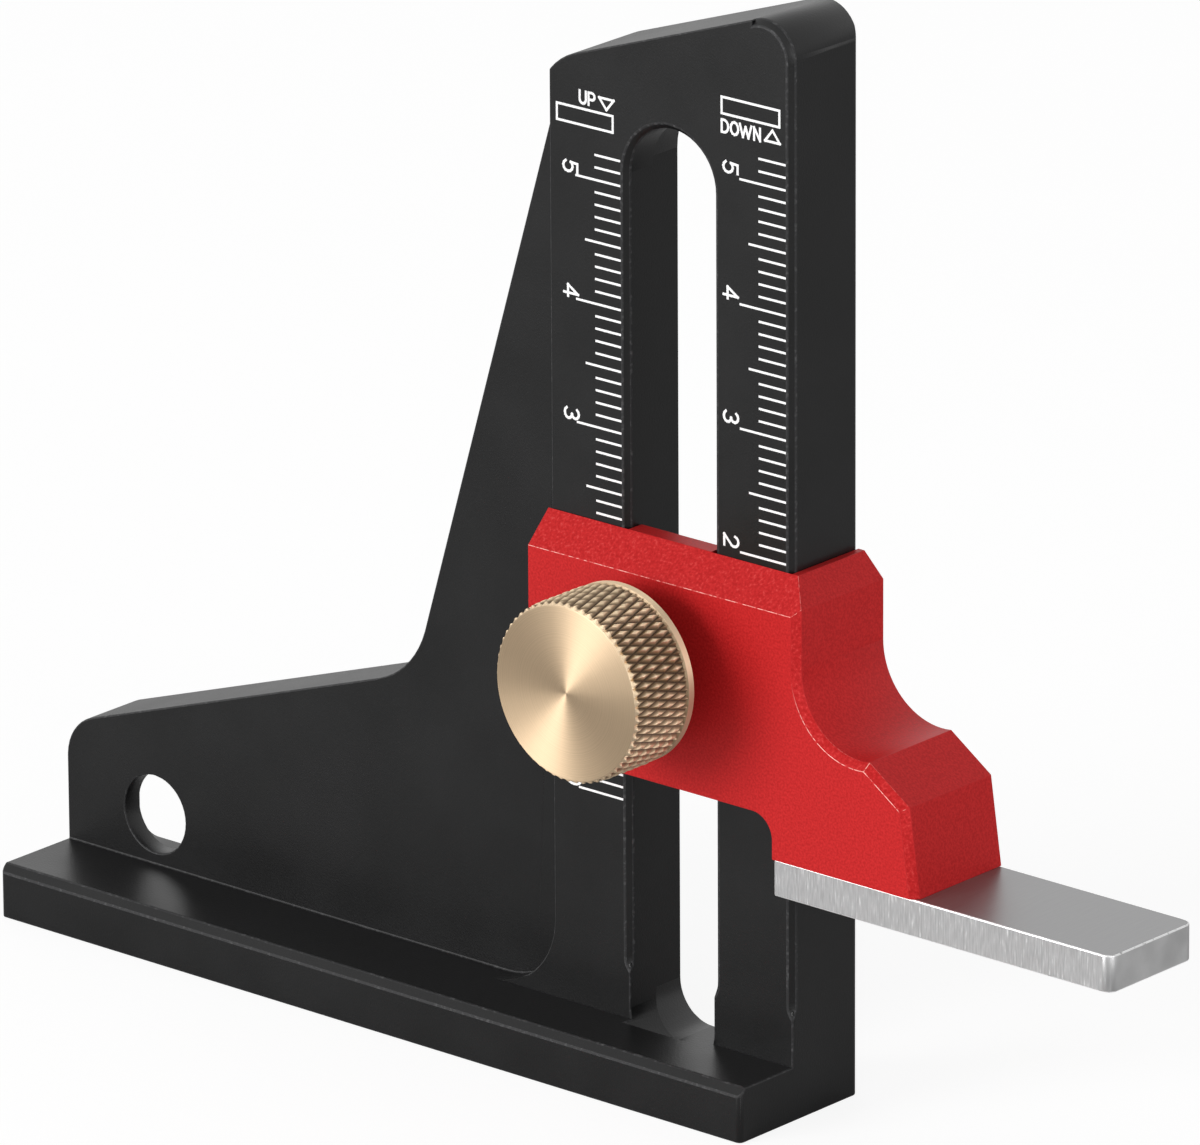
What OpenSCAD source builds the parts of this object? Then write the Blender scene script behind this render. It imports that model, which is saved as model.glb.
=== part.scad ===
// Table saw height gauge: an upright frame with a clamped slider that carries a steel blade.
// X runs along the foot, Y from front to back, Z up from the table. X = 0 is the slot's
// centreline, Y = 0 is the face with the scales and Z = 0 is the table.

/* [Foot] */
// Length of the foot
foot_len = 78.3; // [74.3:0.5:90.3]
// Height of the foot
foot_h = 4.5; // [4:0.1:5]
// How far the foot stands out in front of the scale face
foot_front = 6.25; // [5:0.05:9]
// Chamfer along the foot's top front edge
foot_chamfer = 0.65; // [0.4:0.05:0.7]

/* [Column and web] */
// Depth of the column from the scale face to its back
column_d = 7.85; // [7.4:0.05:9]
// Scale land between the slot and the column's right side
land_right = 8; // [7.6:0.1:9]
// Scale land between the slot and the column's left side
land_left = 7.8; // [7.6:0.1:9]
// Metal over the slot's top end, on the slot's centreline
crown = 7.6; // [6:0.1:10]
// Slope of the column's top, in degrees
crown_slope = 18.9; // [15:0.1:22]
// How far the web's face lies behind the scale face
web_step = 1.86; // [1.5:0.02:2.2]
// Height of the web at its left end
web_end_h = 14.5; // [14:0.1:17]
// Slope of the web's top edge, in degrees
web_slope = 18.6; // [16:0.1:20]
// Slope of the gusset that rises to the column's top, in degrees
gusset_slope = 73.2; // [72:0.1:75]
// Thickness of the web's front wall over the hollow back
web_wall = 1.8; // [1.5:0.05:2.2]
// Width of the rib left round the hollow back
web_rib = 2.4; // [2:0.1:2.6]
// Diameter of the hanging hole
hang_hole_d = 6.6; // [5:0.1:7]

/* [Slot] */
// Width of the slot
slot_w = 8.6; // [8:0.1:9]
// Metal left under the slot and the channel
slot_floor = 2.1; // [1.8:0.1:2.6]
// Radius of the slot's and the channel's lower corners
slot_corner = 3.3; // [2.5:0.1:3.8]
// How far the slot's low end is cut into the foot, in front of the scale face
slot_bite = 0.9; // [0.6:0.1:1.2]
// Chamfer on the slot's front edges and the column's right edge
edge_chamfer = 0.5; // [0.3:0.05:0.6]
// Width of the channel for the clamp nut, cut in the back of the column
channel_w = 11.6; // [11:0.1:12.4]
// Depth of that channel
channel_d = 4.75; // [4.4:0.05:5]

/* [Scales] */
// Length of each scale, in divisions of 1 mm
scale_len = 52; // [40:1:54]
// Width of an engraved line
line_w = 0.18; // [0.12:0.01:0.22]

/* [Slider] */
// Height of the blade's underside above the table, as drawn
setting = 19.4; // [0.1:0.1:40]
// Height of the slider's reading edge above the blade's top
reading_h = 22.6; // [22:0.1:24]
// Thickness of the slider's front plate
plate_t = 2.5; // [2:0.1:3]
// Height of the front plate
plate_h = 19.05; // [18.5:0.05:19.5]
// Thickness of the shoulder beside the column
shoulder_t = 2.57; // [2.4:0.01:3.2]
// Length of the toe that lies on the blade, from the column's side
toe_len = 14.4; // [14:0.1:17]
// Chamfer round the shoulder and toe
slider_chamfer = 0.6; // [0.3:0.05:0.7]
// Gap between parts that slide on each other
slide_gap = 0.05; // [0.04:0.01:0.08]

/* [Blade] */
// Length of the blade
blade_len = 33.3; // [30:0.1:45]
// Width of the blade
blade_w = 10; // [9.5:0.1:10.2]
// Thickness of the blade
blade_t = 3; // [2.8:0.1:3.2]

/* [Knob] */
// Diameter of the knob
knob_d = 14.6; // [13:0.1:16]
// Length of the knurled head
knob_len = 6.85; // [6:0.05:8]
// Length of the neck between the head and the slider
neck_len = 3; // [2.5:0.1:4]
// Height of the knob's axis below the slider's reading edge
knob_drop = 9.2; // [8.8:0.1:9.6]
// Diameter of the clamping stud
stud_d = 4; // [3:0.5:4]

/* [Hidden] */

$fn = 96;
over = 1;           // how far a cutter runs past the face it cuts
paint_t = 0.03;     // thickness of the white marks on the scale face
slot_r = slot_w / 2;
column_r = slot_r + land_right;
column_l = -slot_r - land_left;
foot_l = column_r - foot_len;
corner_r = 0.45;    // rounding of the frame's upright corners

// Heights that follow from the slider: each scale starts where the reading edge stands
// when the blade lies on the table, read at its underside (down) or at its top (up).
down_zero = reading_h + blade_t;
up_zero = reading_h;
blade_top = setting + blade_t;
slider_top = blade_top + reading_h;
knob_z = slider_top - knob_drop;
slot_top = down_zero + scale_len + 0.4;
slot_top_z = slot_top - slot_r;
slot_d = column_d - channel_d;
column_h = slot_top + crown;

// Straight edges of the frame's outline, as heights over x
function crown_z(x) = column_h + x * tan(crown_slope);
function web_z(x) = web_end_h + (x - foot_l) * tan(web_slope);
gusset_top = crown_z(column_l) - 0.6;
function gusset_z(x) = gusset_top + (x - column_l) * tan(gusset_slope);
// Where two sloping lines, each a height and a slope, cross
function crossing(z1, a1, z2, a2) = (z2 - z1) / (tan(a1) - tan(a2));
elbow_x = crossing(web_z(0), web_slope, gusset_z(0), gusset_slope);
elbow = [elbow_x, web_z(elbow_x)];

// Unit vector from a to b
function toward(a, b) = (b - a) / norm(b - a);
// Half of the angle at corner b of the path a, b, c
function half_angle(a, b, c) = acos(toward(b, a) * toward(b, c)) / 2;
// Centre of the circle of radius r in corner b of the path a, b, c
function corner_centre(a, b, c, r) =
    b + (toward(b, a) + toward(b, c)) * r / (2 * sin(half_angle(a, b, c)) * cos(half_angle(a, b, c)));
// Distance from corner b to the ends of its rounding
function corner_run(a, b, c, r) = r / tan(half_angle(a, b, c));

// Solid between two depths, from an outline in x and z
module slab(y0, y1) {
    translate([0, y1, 0])
        rotate([90, 0, 0])
            linear_extrude(y1 - y0)
                children();
}

// A rounding's circle is larger by this much, so that it crosses its edges and doesn't graze them
graze = 0.003;

// Piece to cut from an outside corner b so that it is round
module round_off(a, b, c, r) {
    run = corner_run(a, b, c, r);
    centre = corner_centre(a, b, c, r);
    out = b + toward(centre, b) * over;
    difference() {
        polygon([centre, b + toward(b, a) * run, out + toward(b, a) * run, out,
                 out + toward(b, c) * run, b + toward(b, c) * run]);
        translate(centre)
            circle(r + graze);
    }
}

// Piece that fills an inside corner b with a curve
module fill_in(a, b, c, r) {
    run = corner_run(a, b, c, r);
    centre = corner_centre(a, b, c, r);
    difference() {
        polygon([b + toward(centre, b) * over, b + toward(b, a) * run, centre, b + toward(b, c) * run]);
        translate(centre)
            circle(r + graze);
    }
}

// Upright slot of width w, with a flat floor, round lower corners and a round top end
// whose centre is at height high
module upright_slot(w, high) {
    translate([-w / 2, slot_floor + slot_corner])
        square([w, high - slot_floor - slot_corner]);
    translate([slot_corner - w / 2, slot_floor])
        square([w - 2 * slot_corner, high - slot_floor]);
    for (x = [slot_corner - w / 2, w / 2 - slot_corner])
        translate([x, slot_floor + slot_corner])
            circle(slot_corner);
    translate([0, high])
        circle(w / 2);
}

// Bevel cutter of size c along a front edge that runs from p to q in x and z, at depth y0.
// The metal lies on the right-hand side of the run.
module front_bevel(p, q, c, y0) {
    slope = atan2(q[1] - p[1], q[0] - p[0]);
    translate([p[0], y0, p[1]])
        rotate([0, -slope, 0])
            rotate([90, 0, 90])
                linear_extrude(norm(q - p))
                    polygon([[-over, -c - over], [c + over, over], [-over, over]]);
}

// Cone that bevels the front edge of a round hole of radius r by c
module hole_bevel(p, r, c, y0) {
    translate([p[0], y0 - over, p[1]])
        rotate([-90, 0, 0])
            cylinder(h = over + c, r1 = r + c + over, r2 = r);
}

// Run-out of a bevel: the pointed cutter's own cone, with its axis r outside the edge
module bevel_end(p, r, c, y0) {
    translate([p[0], y0 - over, p[1]])
        rotate([-90, 0, 0])
            cylinder(h = r + c + over, r1 = r + c + over, r2 = 0);
}

// Straight line of width w from a to b, with square ends
module stroke(a, b, w) {
    translate(a)
        rotate(atan2(b[1] - a[1], b[0] - a[0]))
            translate([-w / 2, -w / 2])
                square([norm(b - a) + w, w]);
}

// Strokes along a path of points
module strokes(path, w) {
    for (i = [1:len(path) - 1])
        stroke(path[i - 1], path[i], w);
}

// Points of an elliptic arc
function arc(cx, cy, rx, ry, from, to, steps) =
    [for (i = [0:steps]) [cx + rx * cos(from + (to - from) * i / steps),
                          cy + ry * sin(from + (to - from) * i / steps)]];

// Frame: one machined bar, with a foot, a slotted column, and a web that braces them
web_left_top = [foot_l, web_end_h];
crown_left = [column_l, crown_z(column_l)];
crown_right = [column_r, crown_z(column_r)];
crown_right_r = 3;
crown_left_r = 6;
crown_left_run = 2.6;
web_left_r = 4;
elbow_r = 8;
pocket_r = 6.5;

module web_outline() {
    difference() {
        polygon([[foot_l, 0], [column_l + over, 0], [column_l + over, gusset_top],
                 [column_l, gusset_top], elbow, web_left_top]);
        round_off([foot_l, 0], web_left_top, elbow, web_left_r);
    }
    fill_in(web_left_top, elbow, [column_l, gusset_top], elbow_r);
}

module column_outline() {
    difference() {
        polygon([[column_l, 0], [column_r, 0], crown_right, crown_left]);
        round_off([column_r, 0], crown_right, crown_left, crown_right_r);
    }
    fill_in([column_l, column_h], [column_l, foot_h], [foot_l, foot_h], pocket_r);
}

// Piece cut from the crown's left end, so that its top drops along an arc. The arc starts
// at a distance crown_left_run from the column's side.
module crown_left_cut() {
    start = [column_l + crown_left_run, crown_z(column_l + crown_left_run)];
    up = [-sin(crown_slope), cos(crown_slope)];
    centre = start - crown_left_r * up;
    difference() {
        polygon([centre, start + over * up, crown_left + over * [-1, 1], [column_l - over, centre[1]]]);
        translate(centre)
            circle(crown_left_r + graze);
    }
}

// Outline of the frame seen from above, with its upright corners rounded
module plan_outline() {
    translate([foot_l, -foot_front + corner_r])
        square([foot_len, foot_front + column_d - 2 * corner_r]);
    translate([foot_l + corner_r, -foot_front])
        square([foot_len - 2 * corner_r, foot_front + column_d]);
    for (x = [foot_l + corner_r, column_r - corner_r], y = [corner_r - foot_front, column_d - corner_r])
        translate([x, y])
            circle(corner_r);
}

// Hollow in the back of the web, inside its ribs
hollow_floor = foot_h - 0.5;
hollow_l = foot_l + web_rib;
hollow_r = column_l - 3.9;
hollow_r_corner = 2;
function hollow_web_z(x) = web_z(x) - web_rib / cos(web_slope);
function hollow_gusset_z(x) = gusset_z(x) - web_rib / cos(gusset_slope);
hollow_elbow_x = crossing(hollow_web_z(0), web_slope, hollow_gusset_z(0), gusset_slope);
hollow_path = [[hollow_l, hollow_floor], [hollow_r, hollow_floor], [hollow_r, hollow_gusset_z(hollow_r)],
               [hollow_elbow_x, hollow_web_z(hollow_elbow_x)], [hollow_l, hollow_web_z(hollow_l)]];

module hollow_outline() {
    difference() {
        polygon(hollow_path);
        for (i = [0, 1, 4])
            round_off(hollow_path[(i + 4) % 5], hollow_path[i], hollow_path[(i + 1) % 5], hollow_r_corner);
    }
}

hang_hole = [foot_l + 9.55, 8.75];
bevel_low_z = foot_h + 5;
bevel_reach = 1;    // how far the bevelling cutter's axis runs outside the edge

module frame() {
    color("#1d1d20")
    difference() {
        intersection() {
            union() {
                translate([foot_l, -foot_front, 0])
                    cube([foot_len, foot_front + column_d, foot_h]);
                slab(web_step, column_d)
                    web_outline();
                slab(0, column_d)
                    column_outline();
            }
            linear_extrude(2 * column_h)
                plan_outline();
        }
        slab(-over, column_d + over)
            crown_left_cut();
        // slot, and the channel behind it
        slab(-slot_bite, column_d + over)
            upright_slot(slot_w, slot_top_z);
        slab(slot_d, column_d + over)
            upright_slot(channel_w, slot_top_z);
        // hollow back of the web and the hole through its wall
        slab(web_step + web_wall, column_d + over)
            hollow_outline();
        slab(web_step - over, column_d)
            translate(hang_hole)
                circle(d = hang_hole_d);
        // bevels of the slot, with their run-outs
        front_bevel([-slot_r, slot_top_z], [-slot_r, bevel_low_z], edge_chamfer, 0);
        front_bevel([slot_r, bevel_low_z], [slot_r, slot_top_z], edge_chamfer, 0);
        hole_bevel([0, slot_top_z], slot_r, edge_chamfer, 0);
        for (x = [bevel_reach - slot_r, slot_r - bevel_reach])
            bevel_end([x, bevel_low_z], bevel_reach, edge_chamfer, 0);
        // bevel of the column's right edge and the round corner over it
        crown_centre = corner_centre([column_r, 0], crown_right, crown_left, crown_right_r);
        front_bevel([column_r, crown_centre[1]], [column_r, bevel_low_z], edge_chamfer, 0);
        bevel_end([column_r + bevel_reach, bevel_low_z], bevel_reach, edge_chamfer, 0);
        difference() {
            translate([crown_centre[0] - sin(crown_slope) * crown_right_r, -over, crown_centre[1]])
                cube([2 * crown_right_r, over + 2 * edge_chamfer, crown_right_r + over]);
            translate([crown_centre[0], -over, crown_centre[1]])
                rotate([-90, 0, 0])
                    cylinder(h = over + 2 * edge_chamfer, r1 = crown_right_r - edge_chamfer - over,
                             r2 = crown_right_r + edge_chamfer);
        }
        // bevel along the foot's top front edge
        translate([foot_l - over, -foot_front, foot_h])
            rotate([90, 0, 90])
                linear_extrude(foot_len + 2 * over)
                    polygon([[-over, -foot_chamfer - over], [foot_chamfer + over, over], [-over, over]]);
    }
}

// White marks: each lies on the scale face
module mark() {
    slab(-paint_t, 0)
        children();
}

// Lines of one scale: a long line each ten divisions, a middle one each five, and short
// ones between, all ending at x_end on the right. runs holds the three lengths.
division = 1;       // one division of the scales, a true millimetre
up_runs = [4.55, 3.6, 2.6];
down_runs = [4.6, 3.7, 2.7];
up_lines_r = -slot_r - 0.6;
down_lines_r = column_r - edge_chamfer - 0.1;

module scale_lines(x_end, z0, runs) {
    for (i = [0:floor(scale_len / division)]) {
        run = runs[i % 10 == 0 ? 0 : i % 5 == 0 ? 1 : 2];
        translate([x_end - run, z0 + i * division - line_w / 2])
            square([run, line_w]);
    }
}

module up_scale() {
    color("white")
    mark()
        scale_lines(up_lines_r, up_zero, up_runs);
}

module down_scale() {
    color("white")
    mark()
        scale_lines(down_lines_r, down_zero, down_runs);
}

// Digits as paths, drawn upright. Sizes are shares of a digit's height.
digit_h = 1.42;
digit_w = 0.88;
digit_line = 0.2;
DIGITS = [
    [arc(0.31, 0.5, 0.31, 0.5, 0, 360, 16)],
    [[[0.1, 0.78], [0.38, 1], [0.38, 0]]],
    [concat(arc(0.31, 0.7, 0.29, 0.3, 165, -35, 8), [[0, 0], [0.62, 0]])],
    [concat(arc(0.29, 0.75, 0.27, 0.25, 150, -80, 8), arc(0.29, 0.26, 0.31, 0.26, 80, -150, 8))],
    [[[0.47, 0], [0.47, 1], [0, 0.28], [0.66, 0.28]]],
    [concat([[0.57, 1], [0.09, 1], [0.05, 0.53]], arc(0.28, 0.33, 0.31, 0.33, 115, -150, 9))]
];

// Digits beside the long lines, turned a quarter clockwise, with their feet at x and
// their middles above each line by rise
module digit_column(x, z0, rise) {
    for (n = [0:min(len(DIGITS) - 1, floor(scale_len / division / 10))])
        translate([x, z0 + 10 * n * division + rise + digit_w / 2])
            rotate(-90)
                for (path = DIGITS[n])
                    strokes(path * digit_h, digit_line);
}

module up_numbers() {
    color("white")
    mark()
        digit_column(up_lines_r - up_runs[0] - digit_h + 0.2, up_zero, 0.57);
}

module down_numbers() {
    color("white")
    mark()
        digit_column(down_lines_r - down_runs[0] - digit_h - 0.18, down_zero, 0.72);
}

// Letters of the two legends as paths. Sizes are shares of a letter's height.
letter_h = 0.98;
letter_line = 0.19;
U_PATHS = [concat([[0, 1]], arc(0.32, 0.33, 0.32, 0.33, 180, 360, 6), [[0.64, 1]])];
P_PATHS = [concat([[0, 0], [0, 1], [0.32, 1]], arc(0.34, 0.72, 0.28, 0.28, 90, -90, 6), [[0, 0.44]])];
D_PATHS = [concat([[0, 0], [0, 1], [0.22, 1]], arc(0.22, 0.5, 0.44, 0.5, 90, -90, 8), [[0, 0]])];
O_PATHS = [arc(0.38, 0.5, 0.38, 0.5, 0, 360, 12)];
W_PATHS = [[[0, 1], [0.3, 0], [0.58, 0.85], [0.86, 0], [1.16, 1]]];
N_PATHS = [[[0, 0], [0, 1], [0.6, 0], [0.6, 1]]];

// A word, with the step from its start to each letter
module word(letters, steps) {
    for (i = [0:len(letters) - 1])
        translate([steps[i] * letter_h, 0])
            for (path = letters[i])
                strokes(path * letter_h, letter_line);
}

// Outlined label box with its lower left corner at the given place
label_h = 1.5;

module label_box(corner, width) {
    difference() {
        translate(corner)
            square([width, label_h]);
        translate(corner + [letter_line, letter_line])
            square([width - 2 * letter_line, label_h - 2 * letter_line]);
    }
}

// Triangular arrow, its flat side at height flat and its tip at height tip
arrow_w = 1.48;

module arrow(x, flat, tip) {
    strokes([[x, flat], [x + arrow_w, flat], [x + arrow_w / 2, tip], [x, flat]], letter_line);
}

up_label = [column_l + 0.7, up_zero + scale_len + 2.05];
down_label = [column_r - edge_chamfer - 6.56, down_zero + scale_len + 2.8];

module up_legend() {
    color("white")
    mark() {
        label_box(up_label, 5.86);
        translate(up_label + [2.43, label_h + 0.35])
            word([U_PATHS, P_PATHS], [0, 0.92]);
        translate(up_label)
            arrow(4.4, label_h + 1.16, label_h + 0.28);
    }
}

module down_legend() {
    color("white")
    mark() {
        label_box(down_label, 5.94);
        translate(down_label + [0.1, -0.4 - letter_h])
            word([D_PATHS, O_PATHS, W_PATHS, N_PATHS], [0, 0.92, 1.86, 3.3]);
        translate(down_label)
            arrow(4.42, -1.22, -0.3);
    }
}

// Slider: an L-shaped block, with a front plate, a shoulder beside the column and a toe
plate_l = column_l - 0.3;
shoulder_in = column_r + slide_gap;
shoulder_out = column_r + shoulder_t;
plate_low = slider_top - plate_h;
reading_bevel = plate_t - slide_gap;
shoulder_bevel = 1.9;
cove_r = 5.93;
cove = [shoulder_out + cove_r, blade_top + 15.8];
cove_end = 8.4;     // degrees by which the cove runs past its lowest point
crest = cove + cove_r * [sin(cove_end), -cos(cove_end)];
toe_top = [column_r + toe_len - 1.05, blade_top + 7.2];
toe_end = [column_r + toe_len, blade_top];
key_w = slot_w - 0.2;
boss_d = 1.2;       // depth of the clamp nut's boss, which shares the slot with the key
key_d = slot_d - boss_d - 0.4;
key_l = -key_w / 2;
stud_hole_r = stud_d / 2 + 0.1;

module slider_outline() {
    difference() {
        polygon([[plate_l, plate_low], [shoulder_in, plate_low], [shoulder_in, blade_top], toe_end, toe_top,
                 crest, [crest[0], cove[1]], [shoulder_out, cove[1]], [shoulder_out, slider_top],
                 [plate_l, slider_top]]);
        translate(cove)
            circle(cove_r);
    }
    fill_in([plate_l, plate_low], [shoulder_in, plate_low], [shoulder_in, blade_top], 2);
}

screw_at = [[shoulder_in + 3.6, column_d / 2 - 1.2], [shoulder_in + 10.6, column_d / 2 - 1.2]];
screw_r = 1.25;
screw_deep = 4.5;
screw_head_r = 2.3;
screw_head_h = 1.2;

module slider() {
    color("#b01c22")
    difference() {
        union() {
            difference() {
                slab(-plate_t, column_d)
                    slider_outline();
                // room for the column behind the plate
                translate([plate_l - over, -slide_gap, plate_low - over])
                    cube([shoulder_in - plate_l + over, column_d + over, plate_h + 2 * over]);
                translate([column_l, -slide_gap, blade_top - over])
                    cube([shoulder_in - column_l, column_d + over, reading_h]);
            }
            // key that runs in the slot
            translate([key_l, -plate_t / 2, plate_low])
                cube([key_w, plate_t / 2 + key_d, plate_h]);
        }
        // reading bevel along the plate's top, and the bevel down the shoulder
        translate([plate_l - over, -plate_t, slider_top])
            rotate([90, 0, 90])
                linear_extrude(shoulder_out - plate_l + 2 * over)
                    polygon([[-over, -reading_bevel - over], [reading_bevel + over, over], [-over, over]]);
        slab(-plate_t - over, column_d + over)
            polygon([[shoulder_out - shoulder_bevel - over, slider_top + over],
                     [shoulder_out + over, slider_top - shoulder_bevel - over],
                     [shoulder_out + over, slider_top + over]]);
        // bevel round the shoulder, cove, crest and toe
        front_bevel([shoulder_out, slider_top], [shoulder_out, cove[1]], slider_chamfer, -plate_t);
        hole_bevel(cove, cove_r, slider_chamfer, -plate_t);
        front_bevel(crest + toward(toe_top, crest) * over, toe_top + toward(crest, toe_top) * over,
                    slider_chamfer, -plate_t);
        front_bevel(toe_top + toward(toe_end, toe_top) * over, toe_end + toward(toe_top, toe_end) * over,
                    slider_chamfer, -plate_t);
        translate([0, -plate_t - over, knob_z])
            rotate([-90, 0, 0])
                cylinder(h = plate_t + key_d + 2 * over, r = stud_hole_r);
        for (p = screw_at)
            translate([p[0], p[1], blade_top - over])
                cylinder(h = screw_deep + over, r = screw_r);
    }
}

// Blade: a ground steel bar under the slider's toe, with countersunk holes from below
blade_l = column_r + 2 * slide_gap;
blade_y = column_d - 0.15 - blade_w;
blade_r = 0.8;

module blade_outline() {
    translate([blade_l, blade_y])
        square([blade_len - blade_r, blade_w]);
    translate([blade_l + blade_len - 2 * blade_r, blade_y + blade_r])
        square([2 * blade_r, blade_w - 2 * blade_r]);
    for (y = [blade_y + blade_r, blade_y + blade_w - blade_r])
        translate([blade_l + blade_len - blade_r, y])
            circle(blade_r);
}

module blade() {
    color("#a9abad")
    difference() {
        translate([0, 0, setting])
            linear_extrude(blade_t)
                blade_outline();
        for (p = screw_at) {
            translate([p[0], p[1], setting - over])
                cylinder(h = blade_t + 2 * over, r = screw_r + 0.15);
            translate([p[0], p[1], setting])
                cylinder(h = screw_head_h, r1 = screw_head_r, r2 = screw_r + 0.15);
        }
    }
}

module blade_screws() {
    color("#3c3d40")
    for (p = screw_at)
        translate([p[0], p[1], setting])
            difference() {
                union() {
                    cylinder(h = screw_head_h, r1 = screw_head_r, r2 = screw_r);
                    cylinder(h = blade_t + screw_deep - 0.3, r = screw_r);
                }
                translate([0, 0, -over])
                    cylinder(h = over + 0.9, r = 0.9, $fn = 6);
            }
}

// Knob: a knurled brass head with a plain neck that bears on the slider
knob_face = -plate_t - neck_len - knob_len;
face_bevel = 0.37;

module knob() {
    color("#b39a68")
    translate([0, knob_face, knob_z])
        rotate([-90, 0, 0])
            difference() {
                union() {
                    cylinder(h = face_bevel, r1 = knob_d / 2 - face_bevel, r2 = knob_d / 2);
                    translate([0, 0, face_bevel])
                        cylinder(h = knob_len - face_bevel, r = knob_d / 2);
                    cylinder(h = knob_len + neck_len, r = stud_d / 2 + 2.2);
                }
                translate([0, 0, 2])
                    cylinder(h = knob_len + neck_len, r = stud_d / 2);
            }
}

// Stud: fixed in the knob, it runs through the slider and the slot into the clamp nut
stud_end = column_d - 0.35;

module stud() {
    color("#8f9194")
    translate([0, knob_face + 2, knob_z])
        rotate([-90, 0, 0])
            cylinder(h = stud_end - knob_face - 2, r = stud_d / 2);
}

// Clamp nut: its flange pulls on the floor of the channel, and its boss runs in the slot
flange_t = 3;
flange_h = 10;

module clamp_nut() {
    color("#77797c")
    translate([0, 0, knob_z])
        difference() {
            union() {
                translate([-channel_w / 2 + 0.1, slot_d, -flange_h / 2])
                    cube([channel_w - 0.2, flange_t, flange_h]);
                translate([key_l, slot_d - boss_d, -flange_h / 2])
                    cube([key_w, boss_d + flange_t, flange_h]);
            }
            translate([0, slot_d - boss_d - over, 0])
                rotate([-90, 0, 0])
                    cylinder(h = boss_d + flange_t + 2 * over, r = stud_d / 2 + 0.05);
        }
}

frame();
up_scale();
down_scale();
up_numbers();
down_numbers();
up_legend();
down_legend();
slider();
blade();
blade_screws();
knob();
stud();
clamp_nut();
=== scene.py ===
import math

import bmesh
import bpy
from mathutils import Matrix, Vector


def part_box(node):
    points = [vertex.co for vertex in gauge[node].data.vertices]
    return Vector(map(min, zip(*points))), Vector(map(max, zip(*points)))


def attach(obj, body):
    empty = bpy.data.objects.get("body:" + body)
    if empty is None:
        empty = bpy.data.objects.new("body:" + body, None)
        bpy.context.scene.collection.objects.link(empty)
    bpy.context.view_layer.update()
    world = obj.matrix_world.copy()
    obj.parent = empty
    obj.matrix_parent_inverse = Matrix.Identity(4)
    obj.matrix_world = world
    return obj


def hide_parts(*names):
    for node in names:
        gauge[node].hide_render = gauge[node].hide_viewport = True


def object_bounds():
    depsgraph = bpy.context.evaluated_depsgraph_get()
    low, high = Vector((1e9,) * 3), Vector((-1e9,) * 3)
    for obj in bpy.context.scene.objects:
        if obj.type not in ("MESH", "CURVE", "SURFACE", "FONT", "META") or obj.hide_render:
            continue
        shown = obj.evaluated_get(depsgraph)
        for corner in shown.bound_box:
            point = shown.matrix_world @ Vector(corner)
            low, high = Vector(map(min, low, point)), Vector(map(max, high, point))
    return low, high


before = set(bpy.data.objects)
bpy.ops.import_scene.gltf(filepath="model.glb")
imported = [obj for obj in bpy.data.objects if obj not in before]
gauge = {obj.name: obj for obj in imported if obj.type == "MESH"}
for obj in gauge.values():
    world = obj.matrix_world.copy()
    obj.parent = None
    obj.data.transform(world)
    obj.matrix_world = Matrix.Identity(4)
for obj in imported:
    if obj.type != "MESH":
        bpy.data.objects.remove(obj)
cad_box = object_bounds()

# Frame: one bar of aluminium, milled to a foot, a slotted column and a web, then
# blasted with fine beads and anodised black. The mill's edge breaks are rounded, and
# their thin pale lines and broken glints are painted highlight in their colour.
EDGE_BREAK = 0.00012
LEAST_TURN = math.radians(25)       # between the faces at an edge that is rounded
FLAT_ENOUGH = math.radians(0.2)     # for faces to be joined to one
SAME_POINT = 0.000002
BLACK = (0.0038, 0.0038, 0.0040, 1)
BLACK_WORN = (0.0060, 0.0060, 0.0063, 1)
# Pale edge lines and broken glints: painted highlight on the frame's edge breaks.
BLACK_EDGE_HIGHLIGHT = (0.024, 0.024, 0.025, 1)
BLACK_GLINT = (0.085, 0.085, 0.087, 1)

# Boxes, by two corners: the channel's step and the recess's round corner stay sharp,
# and the inside corner at the web's foot is rounded.
CHANNEL_STEP = ((-0.0064, 0.0027, 0), (0.0064, 0.0036, 0.08))
RECESS_CORNER = ((-0.0192, -0.0003, 0.0040), (-0.0152, 0.0003, 0.0056))
WEB_FOOT = ((-0.07, 0.0016, 0.004), (-0.0165, 0.0021, 0.005))


def new_finish(name):
    """An empty finish with its shader, node list and links."""
    finish = bpy.data.materials.new(name)
    finish.use_nodes = True
    tree = finish.node_tree
    tree.nodes.clear()
    surface = tree.nodes.new("ShaderNodeOutputMaterial")
    shader = tree.nodes.new("ShaderNodeBsdfPrincipled")
    tree.links.new(shader.outputs["BSDF"], surface.inputs["Surface"])
    return finish, shader, tree


def grain(tree, scale, detail, stretch=(1, 1, 1)):
    """Noise that is fixed to the object, stretched along its axes."""
    place = tree.nodes.new("ShaderNodeTexCoord")
    spread = tree.nodes.new("ShaderNodeMapping")
    spread.inputs["Scale"].default_value = stretch
    noise = tree.nodes.new("ShaderNodeTexNoise")
    noise.inputs["Scale"].default_value = scale
    noise.inputs["Detail"].default_value = detail
    tree.links.new(place.outputs["Object"], spread.inputs["Vector"])
    tree.links.new(spread.outputs["Vector"], noise.inputs["Vector"])
    return noise.outputs["Fac"]


def spread_of(tree, value, low, high, start=0.3, end=0.7):
    """A value that runs from start to end, spread over low to high. Noise keeps to 0.3 to 0.7."""
    ranged = tree.nodes.new("ShaderNodeMapRange")
    ranged.inputs["From Min"].default_value = start
    ranged.inputs["From Max"].default_value = end
    ranged.inputs["To Min"].default_value = low
    ranged.inputs["To Max"].default_value = high
    tree.links.new(value, ranged.inputs["Value"])
    return ranged.outputs["Result"]


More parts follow.
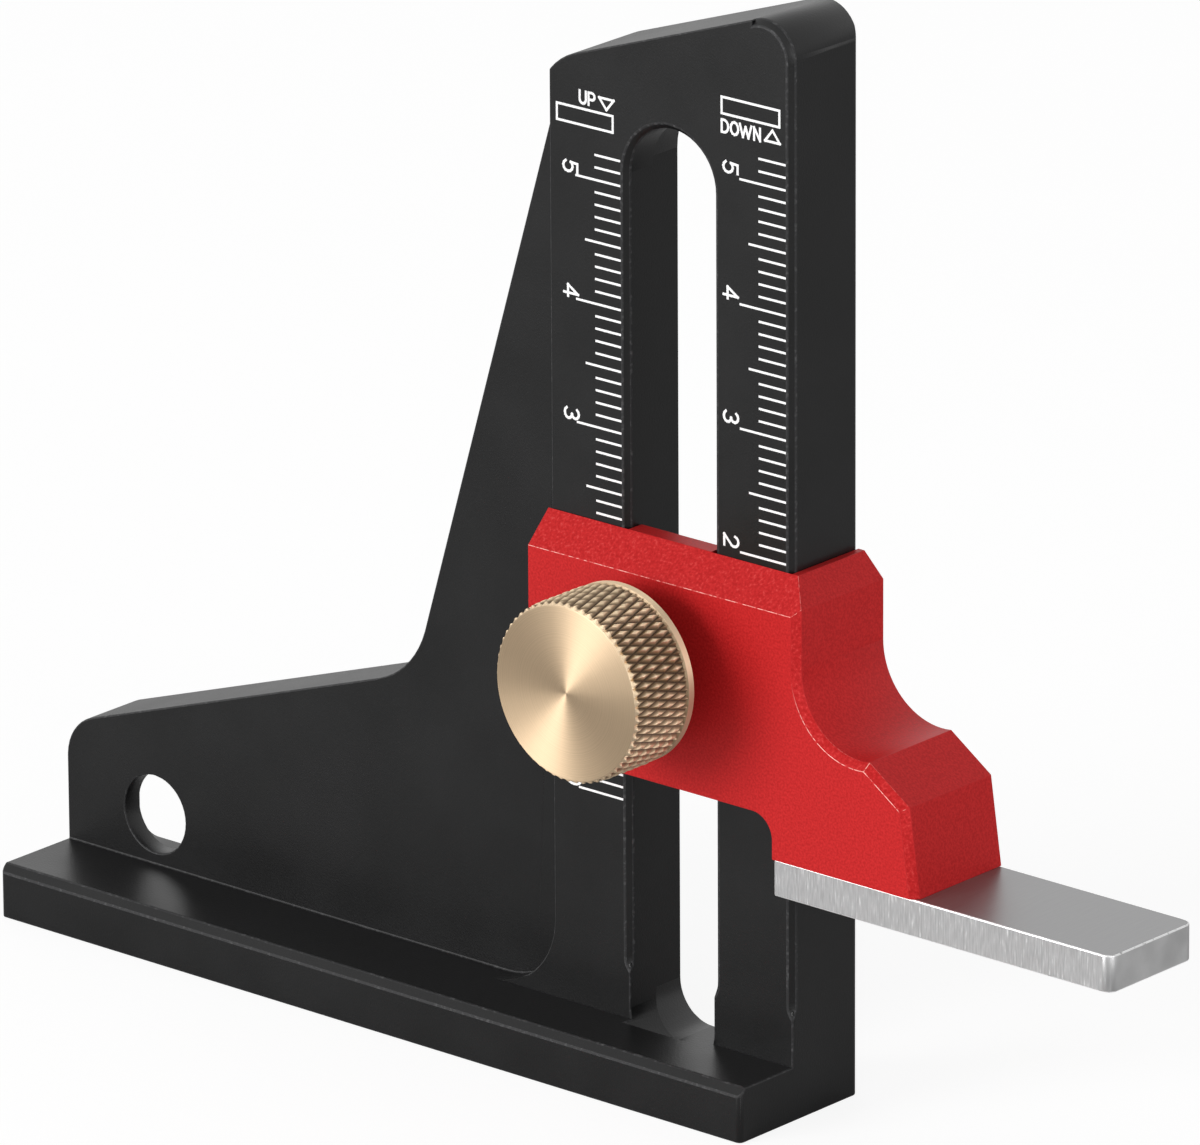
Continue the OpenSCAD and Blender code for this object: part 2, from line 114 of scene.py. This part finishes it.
def tint(tree, value, *stops):
    """Colours along a value, as (place, colour) stops."""
    ramp = tree.nodes.new("ShaderNodeValToRGB")
    while len(ramp.color_ramp.elements) < len(stops):
        ramp.color_ramp.elements.new(1)
    for element, (place, colour) in zip(ramp.color_ramp.elements, stops):
        element.position = place
        element.color = colour
    tree.links.new(value, ramp.inputs["Fac"])
    return ramp.outputs["Color"]


def combined(tree, action, first, second):
    """One sum of two values, such as the larger of the two."""
    node = tree.nodes.new("ShaderNodeMath")
    node.operation = action
    tree.links.new(first, node.inputs[0])
    tree.links.new(second, node.inputs[1])
    return node.outputs["Value"]


def colour_it(tree, shader, colour, rough):
    tree.links.new(colour, shader.inputs["Base Color"])
    tree.links.new(rough, shader.inputs["Roughness"])


def roughen(tree, shader, value, depth, strength=1.0):
    """Bump of that depth in metres."""
    bump = tree.nodes.new("ShaderNodeBump")
    bump.inputs["Distance"].default_value = depth
    bump.inputs["Strength"].default_value = strength
    tree.links.new(value, bump.inputs["Height"])
    tree.links.new(bump.outputs["Normal"], shader.inputs["Normal"])


def black_anodised():
    """Fine bead grain, with slow clouds where the black is worn a little paler."""
    finish, shader, tree = new_finish("black_anodised_blasted")
    beads = grain(tree, scale=6500, detail=1.5)
    clouds = grain(tree, scale=140, detail=3)
    colour = tint(tree, clouds, (0.35, BLACK), (0.7, BLACK_WORN))
    colour_it(tree, shader, colour, rough=spread_of(tree, clouds, 0.33, 0.38))
    shader.inputs["Specular IOR Level"].default_value = 0.33
    roughen(tree, shader, beads, depth=0.00001)
    return finish


def black_edge():
    """The broken edge, painted paler and with specks as glints: painted highlight."""
    finish, shader, tree = new_finish("black_anodised_edge")
    glint_noise = grain(tree, scale=2600, detail=2)
    colour = tint(tree, glint_noise, (0.52, BLACK_EDGE_HIGHLIGHT), (0.76, BLACK_GLINT))
    colour_it(tree, shader, colour, rough=spread_of(tree, glint_noise, 0.5, 0.6))
    shader.inputs["Specular IOR Level"].default_value = 0.3
    return finish


def in_box(group, low, high):
    """One for the edges whose middle lies between the two corners, else nought."""
    middle = [(a + b) / 2 for a, b in zip(low, high)]
    reach = [(b - a) / 2 for a, b in zip(low, high)]
    place = group.nodes.new("GeometryNodeInputPosition").outputs["Position"]
    for action, amount in (("SUBTRACT", middle), ("ABSOLUTE", None), ("SUBTRACT", reach)):
        step = group.nodes.new("ShaderNodeVectorMath")
        step.operation = action
        group.links.new(place, step.inputs[0])
        if amount:
            step.inputs[1].default_value = amount
        place = step.outputs["Vector"]
    parts = group.nodes.new("ShaderNodeSeparateXYZ")
    group.links.new(place, parts.inputs["Vector"])
    most = parts.outputs["X"]
    for axis in ("Y", "Z"):
        most = combined(group, "MAXIMUM", most, parts.outputs[axis])
    inside = group.nodes.new("ShaderNodeMath")
    inside.operation = "LESS_THAN"
    inside.inputs[1].default_value = 0
    group.links.new(most, inside.inputs[0])
    return inside.outputs["Value"]


def edge_marks(name, left_sharp=(), also_rounded=None):
    """Marks outward edges to be rounded, less those in some boxes, and inward ones in one."""
    group = bpy.data.node_groups.new(name, "GeometryNodeTree")
    group.interface.new_socket(name="Geometry", in_out="INPUT", socket_type="NodeSocketGeometry")
    group.interface.new_socket(name="Geometry", in_out="OUTPUT", socket_type="NodeSocketGeometry")
    start = group.nodes.new("NodeGroupInput")
    end = group.nodes.new("NodeGroupOutput")
    angle = group.nodes.new("GeometryNodeInputMeshEdgeAngle")

    def turned(test, limit):
        """One for the edges whose faces turn by more than the limit, that way."""
        node = group.nodes.new("ShaderNodeMath")
        node.operation = test
        node.inputs[1].default_value = limit
        group.links.new(angle.outputs["Signed Angle"], node.inputs[0])
        return node.outputs["Value"]

    chosen = turned("GREATER_THAN", LEAST_TURN)
    for corners in left_sharp:
        chosen = combined(group, "SUBTRACT", chosen, in_box(group, *corners))
    if also_rounded:
        inward = turned("LESS_THAN", -LEAST_TURN)
        added = combined(group, "MULTIPLY", inward, in_box(group, *also_rounded))
        chosen = combined(group, "MAXIMUM", chosen, added)
    store = group.nodes.new("GeometryNodeStoreNamedAttribute")
    store.data_type = "FLOAT"
    store.domain = "EDGE"
    store.inputs["Name"].default_value = "bevel_weight_edge"
    group.links.new(start.outputs["Geometry"], store.inputs["Geometry"])
    group.links.new(chosen, store.inputs["Value"])
    group.links.new(store.outputs["Geometry"], end.inputs["Geometry"])
    return group


outer_edges = edge_marks("outer_edges")


def break_edges(piece, width, edge_finish=None, marked=outer_edges, clamp=False):
    """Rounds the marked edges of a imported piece, and may give them a finish of their own."""
    weld = piece.modifiers.new("weld", "WELD")
    weld.merge_threshold = SAME_POINT
    flats = piece.modifiers.new("flats", "DECIMATE")
    flats.decimate_type = "DISSOLVE"
    flats.angle_limit = FLAT_ENOUGH
    marks = piece.modifiers.new("marks", "NODES")
    marks.node_group = marked
    edges = piece.modifiers.new("edges", "BEVEL")
    edges.width = width
    edges.segments = 2
    edges.limit_method = "WEIGHT"
    edges.use_clamp_overlap = clamp
    if edge_finish:
        piece.data.materials.append(edge_finish)
        edges.material = 1


def give(piece, finish):
    piece.data.materials.clear()
    piece.data.materials.append(finish)


body = gauge["frame"]
body_marks = edge_marks("frame_edges", (CHANNEL_STEP, RECESS_CORNER), WEB_FOOT)
give(body, black_anodised())
break_edges(body, EDGE_BREAK, black_edge(), body_marks)

# Marks: white lines, numbers and words that a laser burnt into the anodising. They
# have no thickness of their own and look slightly chalky.
WHITE_DULL = (0.90, 0.90, 0.90, 1)
WHITE = (0.98, 0.98, 0.98, 1)


def laser_white():
    """Chalk white, with a little glow painted in as light, to brighten the marks."""
    finish, shader, tree = new_finish("laser_white")
    chalk = grain(tree, scale=5000, detail=2)
    colour = tint(tree, chalk, (0.3, WHITE_DULL), (0.6, WHITE))
    colour_it(tree, shader, colour, rough=spread_of(tree, chalk, 0.6, 0.8))
    # The marks glow a little: painted light, as they are no lamp.
    tree.links.new(colour, shader.inputs["Emission Color"])
    shader.inputs["Emission Strength"].default_value = 0.14
    return finish


white = laser_white()
for mark in ("up_scale", "down_scale", "up_numbers", "down_numbers", "up_legend", "down_legend"):
    give(gauge[mark], white)

# Slider: a block of aluminium, milled to shape, blasted and anodised red. The
# chamfers were cut last and have a coarser grain, with pale specks painted in as
# glints, and the edge breaks have broken glints painted in where they face the highlight.
SLIDER_BREAK = 0.0001
RED = (0.54, 0.013, 0.014, 1)
RED_LIGHT = (0.67, 0.024, 0.025, 1)
# Pale specks on the chamfers: painted glints.
RED_GLINT_SPECK = (0.74, 0.065, 0.062, 1)
RED_EDGE = (0.62, 0.018, 0.02, 1)
RED_GLINT = (1.0, 0.52, 0.46, 1)
NOUGHT = (0, 0, 0, 1)
ONE = (1, 1, 1, 1)
# Painted glints go on the edges that face this way, where the front lamp's highlight falls.
TOWARDS_HIGHLIGHT = (0.22, -0.84, 0.50)   # forwards and up


def faces_along(tree, axis):
    """One on the faces that look along the axis, either way, else nought."""
    place = tree.nodes.new("ShaderNodeTexCoord")
    parts = tree.nodes.new("ShaderNodeSeparateXYZ")
    square = tree.nodes.new("ShaderNodeMath")
    square.operation = "POWER"
    square.inputs[1].default_value = 2
    tree.links.new(place.outputs["Normal"], parts.inputs["Vector"])
    tree.links.new(parts.outputs[axis], square.inputs[0])
    return square.outputs["Value"]


def slanted(tree):
    """One on chamfers, whose normal lies between the Y axis and the XZ plane, else nought."""
    return tint(tree, faces_along(tree, "Y"), (0.2, NOUGHT), (0.3, ONE), (0.7, ONE), (0.8, NOUGHT))


def mixed(tree, share, first, second):
    """The first colour where the share is nought and the second where it is one."""
    mix = tree.nodes.new("ShaderNodeMix")
    mix.data_type = "RGBA"
    tree.links.new(share, mix.inputs["Factor"])
    tree.links.new(first, mix.inputs["A"])
    tree.links.new(second, mix.inputs["B"])
    return mix.outputs["Result"]


def red_anodised():
    """Bead grain on the faces, and a coarser one on the chamfers with pale specks painted as glints."""
    finish, shader, tree = new_finish("red_anodised_blasted")
    beads = grain(tree, scale=5200, detail=2)
    coarse = grain(tree, scale=4300, detail=3)
    plain = tint(tree, beads, (0.35, RED), (0.65, RED_LIGHT))
    chamfer_glints = tint(tree, coarse, (0.35, RED), (0.58, RED_LIGHT), (0.72, RED_GLINT_SPECK))
    chamfer = slanted(tree)
    colour = mixed(tree, chamfer, plain, chamfer_glints)
    colour_it(tree, shader, colour, rough=spread_of(tree, beads, 0.42, 0.5))
    shader.inputs["Metallic"].default_value = 0.15
    shader.inputs["Specular IOR Level"].default_value = 0.16
    roughen(tree, shader, mixed(tree, chamfer, beads, coarse), depth=0.000012, strength=0.8)
    return finish


def facing_the_highlight(tree):
    """One on faces turned towards the highlight, fading to nought: where glints are painted."""
    place = tree.nodes.new("ShaderNodeTexCoord")
    along = tree.nodes.new("ShaderNodeVectorMath")
    along.operation = "DOT_PRODUCT"
    along.inputs[1].default_value = TOWARDS_HIGHLIGHT
    tree.links.new(place.outputs["Normal"], along.inputs[0])
    return spread_of(tree, along.outputs["Value"], 0, 1, start=0.88, end=0.96)


def red_edge():
    """Red like the faces, with broken glints painted in where the edge faces the highlight."""
    finish, shader, tree = new_finish("red_anodised_edge")
    glint_noise = grain(tree, scale=2600, detail=2.5)
    plain = tint(tree, glint_noise, (0.35, RED), (0.65, RED_EDGE))
    glint_colour = tint(tree, glint_noise, (0.40, RED_EDGE), (0.56, RED_GLINT))
    colour = mixed(tree, facing_the_highlight(tree), plain, glint_colour)
    colour_it(tree, shader, colour, rough=spread_of(tree, glint_noise, 0.42, 0.5))
    shader.inputs["Metallic"].default_value = 0.2
    shader.inputs["Specular IOR Level"].default_value = 0.25
    return finish


slider = gauge["slider"]
give(slider, red_anodised())
break_edges(slider, SLIDER_BREAK, red_edge(), clamp=True)

# Blade: a bar of steel, ground on its wide faces and sawn along its narrow ones,
# with fine upright marks there. It is screwed to the slider from below.
BLADE_BREAK = 0.00012
STEEL = (0.23, 0.23, 0.232, 1)
STEEL_LIGHT = (0.27, 0.27, 0.272, 1)
SAWN = (0.50, 0.50, 0.502, 1)
SAWN_LIGHT = (0.62, 0.62, 0.622, 1)
# Painted glints on the sawn faces' upright marks.
SAWN_GLINT = (0.95, 0.95, 0.95, 1)
# The edge breaks' pale colour is painted highlight.
STEEL_EDGE_HIGHLIGHT = (0.8, 0.8, 0.8, 1)


def ground_steel():
    """Lines across the wide faces, upright marks with painted glints on the long narrow ones, plain ends.
    """
    finish, shader, tree = new_finish("ground_steel_lines")
    lines = grain(tree, scale=1, detail=3, stretch=(7000, 350, 350))
    upright = grain(tree, scale=1, detail=4, stretch=(6500, 900, 700))
    wide = tint(tree, lines, (0.3, STEEL), (0.7, STEEL_LIGHT))
    narrow = tint(tree, upright, (0.35, SAWN), (0.6, SAWN_LIGHT), (0.74, SAWN_GLINT))
    end = tint(tree, lines, (0.3, SAWN), (0.7, SAWN_LIGHT))
    sideways = faces_along(tree, "Y")
    colour = mixed(tree, sideways, wide, narrow)
    colour = mixed(tree, faces_along(tree, "X"), colour, end)
    colour_it(tree, shader, colour, rough=spread_of(tree, lines, 0.34, 0.42))
    shader.inputs["Metallic"].default_value = 0.85
    roughen(tree, shader, mixed(tree, sideways, lines, upright), depth=0.000006, strength=0.7)
    return finish


def steel_edge():
    """An edge break painted pale as a highlight, with darker nicks."""
    finish, shader, tree = new_finish("ground_steel_edge")
    nicks = grain(tree, scale=1800, detail=2)
    colour = tint(tree, nicks, (0.25, STEEL_LIGHT), (0.42, STEEL_EDGE_HIGHLIGHT))
    colour_it(tree, shader, colour, rough=spread_of(tree, nicks, 0.3, 0.4))
    shader.inputs["Metallic"].default_value = 0.6
    return finish


blade = gauge["blade"]
give(blade, ground_steel())
break_edges(blade, BLADE_BREAK, steel_edge())

# Blade screws: two countersunk socket screws of blackened steel, driven through the
# blade from below into the slider's toe.
OXIDE = (0.02, 0.02, 0.022, 1)
OXIDE_LIGHT = (0.045, 0.045, 0.048, 1)


def black_oxide():
    """Patchy blue-black, with an oily gloss."""
    finish, shader, tree = new_finish("black_oxide")
    patches = grain(tree, scale=900, detail=3)
    colour = tint(tree, patches, (0.3, OXIDE), (0.7, OXIDE_LIGHT))
    colour_it(tree, shader, colour, rough=spread_of(tree, patches, 0.3, 0.45))
    shader.inputs["Metallic"].default_value = 0.7
    return finish


give(gauge["blade_screws"], black_oxide())

# Knob: a brass head, turned on its face, with a diamond knurl pressed round it and
# a plain band and neck behind. It carries the stud. The knurl's grooves are painted
# dark as shade, and its crests and the rim behind the face are painted bright as highlight.
knob_low, knob_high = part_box("knob")
KNOB_R = (knob_high.x - knob_low.x) / 2
KNOB_X = (knob_high.x + knob_low.x) / 2
KNOB_Z = (knob_high.z + knob_low.z) / 2
KNOB_FACE = knob_low.y
KNOB_BACK = knob_high.y
DIMPLE_R = 0.0007       # the lathe tool's mark at the middle of the face
DIMPLE_INNER_R = 0.0003
DIMPLE_DEPTH = 0.00003
RIM_R = KNOB_R - 0.0003
RIM_ROUND = 0.00002     # how far the face falls off in its last RIM_RUN
RIM_RUN = 0.00008
NECK_LEN = 0.003
NECK_R = 0.0042
NECK_FILLET = 0.0002
NECK_EDGE = 0.0001
BORE_R = 0.002
BORE_FACE = KNOB_FACE + 0.002
HEAD_BACK = KNOB_BACK - NECK_LEN
BAND = 0.0009
BAND_R = KNOB_R - 0.00006
BAND_EDGE = 0.00016
BAND_EDGE_RUN = 0.00015
KNURL_START = KNOB_FACE + 0.00006
KNURL_END = HEAD_BACK - BAND
KNURL_DEPTH = 0.0003
DIAMONDS = 60
DIAMOND_LEN = 0.0025
CREST = 1.3             # over one, so the diamonds have flat tops
# how far below the crest the painted highlight is at full strength
CREST_HIGHLIGHT_BAND = 0.00004
CUTS = 6                # mesh steps in half a diamond
AROUND = DIAMONDS * 2 * CUTS
ROWS = round((KNURL_END - KNURL_START) / (DIAMOND_LEN / 2) * CUTS)
# how far behind the face the rim is painted bright as a highlight
RIM_HIGHLIGHT = 0.0004      # how far behind the face the metal is rubbed bright
RIM_FADE = 0.0001
BRASS = (0.60, 0.452, 0.30, 1)
BRASS_LIGHT = (0.69, 0.527, 0.352, 1)
# Knurl colours by height: painted shade in the grooves, painted highlight on the crests.
BRASS_GROOVE_SHADE = (0.11, 0.07, 0.045, 1)
BRASS_FLANK_SHADE = (0.36, 0.265, 0.165, 1)
BRASS_CREST_HIGHLIGHT = (0.86, 0.69, 0.48, 1)


def knurled_radius(i, row):
    """Radius of the knurl, which has flat-topped diamonds between two sets of grooves."""
    across = abs((i % (2 * CUTS)) / CUTS - 1)
    along = abs((row % (2 * CUTS)) / CUTS - 1)
    rise = abs(across + along - 1)
    return KNOB_R - KNURL_DEPTH * (1 - min(rise * CREST, 1))


def knob_rings():
    """Rings from the face to the bore's end, as the place on the axis and the radii round it."""
    face = [(KNOB_FACE + DIMPLE_DEPTH * 2 / 3, DIMPLE_INNER_R), (KNOB_FACE, DIMPLE_R),
            (KNOB_FACE, RIM_R - RIM_RUN), (KNOB_FACE + RIM_ROUND, RIM_R)]
    back = [(KNURL_END + BAND_EDGE / 2, KNOB_R - KNURL_DEPTH), (KNURL_END + BAND_EDGE, BAND_R),
            (HEAD_BACK - BAND_EDGE_RUN, BAND_R), (HEAD_BACK, BAND_R - BAND_EDGE),
            (HEAD_BACK, NECK_R + NECK_FILLET), (HEAD_BACK + NECK_FILLET, NECK_R),
            (KNOB_BACK - NECK_EDGE, NECK_R), (KNOB_BACK, NECK_R - NECK_EDGE),
            (KNOB_BACK, BORE_R + NECK_EDGE), (KNOB_BACK - NECK_EDGE, BORE_R), (BORE_FACE, BORE_R)]
    knurl = []
    for row in range(ROWS + 1):
        run = (KNURL_END - KNURL_START) * row / ROWS
        chamfer = RIM_R + RIM_ROUND + run
        radii = [min(knurled_radius(i, row), chamfer) for i in range(AROUND)]
        knurl.append((KNURL_START + run, radii))
    plain_face = [(y, [r] * AROUND) for y, r in face]
    plain_back = [(y, [r] * AROUND) for y, r in back]
    return plain_face + knurl + plain_back, len(face)


def knob_mesh():
    """The rings joined to a closed skin, whose knurl is cut along the diamonds' grooves."""
    mesh = bmesh.new()
    rings, first_row = knob_rings()
    made = []
    for y, radii in rings:
        ring = []
        for i, r in enumerate(radii):
            angle = 2 * math.pi * i / AROUND
            ring.append(mesh.verts.new((KNOB_X + r * math.sin(angle), y, KNOB_Z + r * math.cos(angle))))
        made.append(ring)
    front = mesh.verts.new((KNOB_X, KNOB_FACE + DIMPLE_DEPTH, KNOB_Z))
    end = mesh.verts.new((KNOB_X, BORE_FACE, KNOB_Z))
    for i in range(AROUND):
        j = (i + 1) % AROUND
        mesh.faces.new((front, made[0][j], made[0][i]))
        mesh.faces.new((end, made[-1][i], made[-1][j]))
        for k in range(len(made) - 1):
            a, b, c, d = made[k][i], made[k][j], made[k + 1][j], made[k + 1][i]
            row = k - first_row
            if not 0 <= row < ROWS:
                mesh.faces.new((a, b, c, d))
            elif (i // CUTS + row // CUTS) % 2:
                mesh.faces.new((a, b, c))
                mesh.faces.new((a, c, d))
            else:
                mesh.faces.new((a, b, d))
                mesh.faces.new((b, c, d))
    bmesh.ops.recalc_face_normals(mesh, faces=mesh.faces)
    shape = bpy.data.meshes.new("clamp_knob")
    mesh.to_mesh(shape)
    mesh.free()
    return shape


def out_from_axis(tree):
    """Distance from the knob's axis, in metres."""
    place = tree.nodes.new("ShaderNodeTexCoord")
    shift = tree.nodes.new("ShaderNodeVectorMath")
    shift.operation = "SUBTRACT"
    shift.inputs[1].default_value = (KNOB_X, 0, KNOB_Z)
    flat = tree.nodes.new("ShaderNodeVectorMath")
    flat.operation = "MULTIPLY"
    flat.inputs[1].default_value = (1, 0, 1)
    reach = tree.nodes.new("ShaderNodeVectorMath")
    reach.operation = "LENGTH"
    tree.links.new(place.outputs["Object"], shift.inputs[0])
    tree.links.new(shift.outputs["Vector"], flat.inputs[0])
    tree.links.new(flat.outputs["Vector"], reach.inputs[0])
    return reach.outputs["Value"]


def near_the_face(tree):
    """One in front, fading to nought where the rim's painted highlight ends."""
    place = tree.nodes.new("ShaderNodeTexCoord")
    parts = tree.nodes.new("ShaderNodeSeparateXYZ")
    tree.links.new(place.outputs["Object"], parts.inputs["Vector"])
    highlight_end = KNOB_FACE + RIM_HIGHLIGHT
    return spread_of(tree, parts.outputs["Y"], 1, 0, start=highlight_end - RIM_FADE, end=highlight_end + RIM_FADE)


def turned_brass():
    """Fine rings on the face, which spread the light to a fan, and a knurl painted dark in its grooves as
    shade and bright on its crests as highlight.
    """
    finish, shader, tree = new_finish("turned_brass")
    reach = out_from_axis(tree)
    facing = faces_along(tree, "Y")
    rings = tree.nodes.new("ShaderNodeTexNoise")
    rings.noise_dimensions = "1D"
    rings.inputs["Scale"].default_value = 15000
    rings.inputs["Detail"].default_value = 3
    tree.links.new(reach, rings.inputs["W"])
    turned = tint(tree, rings.outputs["Fac"], (0.35, BRASS), (0.65, BRASS_LIGHT))
    height = spread_of(tree, reach, 0, 1, start=KNOB_R - KNURL_DEPTH, end=KNOB_R - CREST_HIGHLIGHT_BAND)
    # Painted shade and highlight: dark in the knurl's grooves, bright on its crests and on the rim behind
    # the face.
    height_or_rim_highlight = combined(tree, "MAXIMUM", height, near_the_face(tree))
    knurl = tint(tree, height_or_rim_highlight, (0, BRASS_GROOVE_SHADE), (0.55, BRASS_FLANK_SHADE), (1, BRASS_CREST_HIGHLIGHT))
    colour = mixed(tree, facing, knurl, turned)
    colour_it(tree, shader, colour, rough=spread_of(tree, rings.outputs["Fac"], 0.50, 0.56))
    crest_rim_or_face = combined(tree, "MAXIMUM", height_or_rim_highlight, facing)
    metal = spread_of(tree, crest_rim_or_face, 0.35, 1, start=0.1, end=0.8)
    tree.links.new(metal, shader.inputs["Metallic"])
    shader.inputs["Anisotropic"].default_value = 0.85
    shader.inputs["Anisotropic Rotation"].default_value = 0.25
    turn = tree.nodes.new("ShaderNodeTangent")
    turn.direction_type = "RADIAL"
    turn.axis = "Y"
    tree.links.new(turn.outputs["Tangent"], shader.inputs["Tangent"])
    return finish


knob = bpy.data.objects.new("clamp_knob", knob_mesh())
bpy.context.scene.collection.objects.link(knob)
give(knob, turned_brass())
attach(knob, "knob")
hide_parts("knob")

# Stud and clamp nut: plated steel. The stud is fixed in the knob, and the nut rides
# on it in the channel behind the column.
PLATED_BREAK = 0.0002
ZINC = (0.42, 0.43, 0.44, 1)
ZINC_LIGHT = (0.56, 0.57, 0.58, 1)


def bright_zinc():
    """Bright plating with the soft patches of its bath."""
    finish, shader, tree = new_finish("bright_zinc")
    bloom = grain(tree, scale=600, detail=3)
    colour = tint(tree, bloom, (0.3, ZINC), (0.7, ZINC_LIGHT))
    colour_it(tree, shader, colour, rough=spread_of(tree, bloom, 0.25, 0.35))
    shader.inputs["Metallic"].default_value = 1
    return finish


zinc = bright_zinc()
for piece in ("stud", "clamp_nut"):
    give(gauge[piece], zinc)
    break_edges(gauge[piece], PLATED_BREAK)

# Studio: a pale floor and a white surround, a lamp above the left of the front, a
# weaker one from the right and one from behind.
PAPER = (0.90, 0.90, 0.90, 1)
PAPER_LIGHT = (0.92, 0.92, 0.92, 1)
PAPER_GLOW = 1.16
GLOW_SHARE = 0.75       # of what the camera sees, so the shadow stays soft
FLOOR_R = 4
FLOOR_DROP = 0.00002    # below the foot, so the two don't share a plane
SURROUND = 0.32         # light on the object, against the white that the camera sees


def pale_floor():
    """Paper that glows for the camera alone and still takes the object's shadow."""
    finish, shader, tree = new_finish("pale_floor")
    paper = grain(tree, scale=40, detail=2)
    colour = tint(tree, paper, (0.3, PAPER), (0.7, PAPER_LIGHT))
    tree.links.new(colour, shader.inputs["Base Color"])
    shader.inputs["Roughness"].default_value = 0.9
    glow = tree.nodes.new("ShaderNodeEmission")
    glow.inputs["Color"].default_value = (1, 1, 1, 1)
    glow.inputs["Strength"].default_value = PAPER_GLOW
    rays = tree.nodes.new("ShaderNodeLightPath")
    share = spread_of(tree, rays.outputs["Is Camera Ray"], 0, GLOW_SHARE, start=0, end=1)
    blend = tree.nodes.new("ShaderNodeMixShader")
    surface = tree.nodes["Material Output"]
    tree.links.new(share, blend.inputs["Fac"])
    tree.links.new(shader.outputs["BSDF"], blend.inputs[1])
    tree.links.new(glow.outputs["Emission"], blend.inputs[2])
    tree.links.new(blend.outputs["Shader"], surface.inputs["Surface"])
    return finish


floor_mesh = bmesh.new()
bmesh.ops.create_circle(floor_mesh, cap_ends=True, segments=96, radius=FLOOR_R)
floor_shape = bpy.data.meshes.new("floor")
floor_mesh.to_mesh(floor_shape)
floor_mesh.free()
floor = bpy.data.objects.new("floor", floor_shape)
floor.location.z = -FLOOR_DROP
bpy.context.scene.collection.objects.link(floor)
give(floor, pale_floor())

world = bpy.data.worlds.new("surround")
bpy.context.scene.world = world
world.use_nodes = True
sky = world.node_tree
sky.nodes.clear()
sky_out = sky.nodes.new("ShaderNodeOutputWorld")
sky_light = sky.nodes.new("ShaderNodeBackground")
sky_light.inputs["Color"].default_value = (1, 1, 1, 1)
sky_rays = sky.nodes.new("ShaderNodeLightPath")
shown = sky_rays.outputs["Is Camera Ray"]
for also in ("Is Glossy Ray", "Is Transmission Ray"):
    shown = combined(sky, "MAXIMUM", shown, sky_rays.outputs[also])
strength = spread_of(sky, shown, SURROUND, 1, start=0, end=1)
sky.links.new(strength, sky_light.inputs["Strength"])
sky.links.new(sky_light.outputs["Background"], sky_out.inputs["Surface"])

middle = (cad_box[0] + cad_box[1]) / 2


def lamp(name, place, size, watts):
    """A round soft lamp that looks at the object's middle."""
    light = bpy.data.lights.new(name, "AREA")
    light.shape = "DISK"
    light.size = size
    light.energy = watts
    holder = bpy.data.objects.new(name, light)
    holder.location = place
    holder.rotation_mode = "QUATERNION"
    holder.rotation_quaternion = (holder.location - middle).to_track_quat("Z", "Y")
    bpy.context.scene.collection.objects.link(holder)


lamp("lamp_front", place=(-0.485, -1.168, 0.369), size=0.75, watts=10.4)
lamp("lamp_right", place=(0.99, -0.32, 0.10), size=0.9, watts=4.4)
lamp("lamp_back", place=(-0.75, 0.85, 0.45), size=0.7, watts=0.38)

# Camera: a long lens about a metre away, on the right of the front and a little
# above. Its place and aim were worked out from the lines of the scales.
camera = bpy.data.cameras.new("camera")
camera.lens = 420.62
camera.sensor_width = 36
camera.clip_start = 0.05
camera.clip_end = 20
tripod = bpy.data.objects.new("camera", camera)
tripod.location = (0.66693, -0.77468, 0.39490)
tripod.rotation_euler = [math.radians(turn) for turn in (70.9732, 0.2931, 40.9281)]
bpy.context.scene.collection.objects.link(tripod)
bpy.context.scene.camera = tripod
bpy.context.scene.view_settings.view_transform = "Standard"
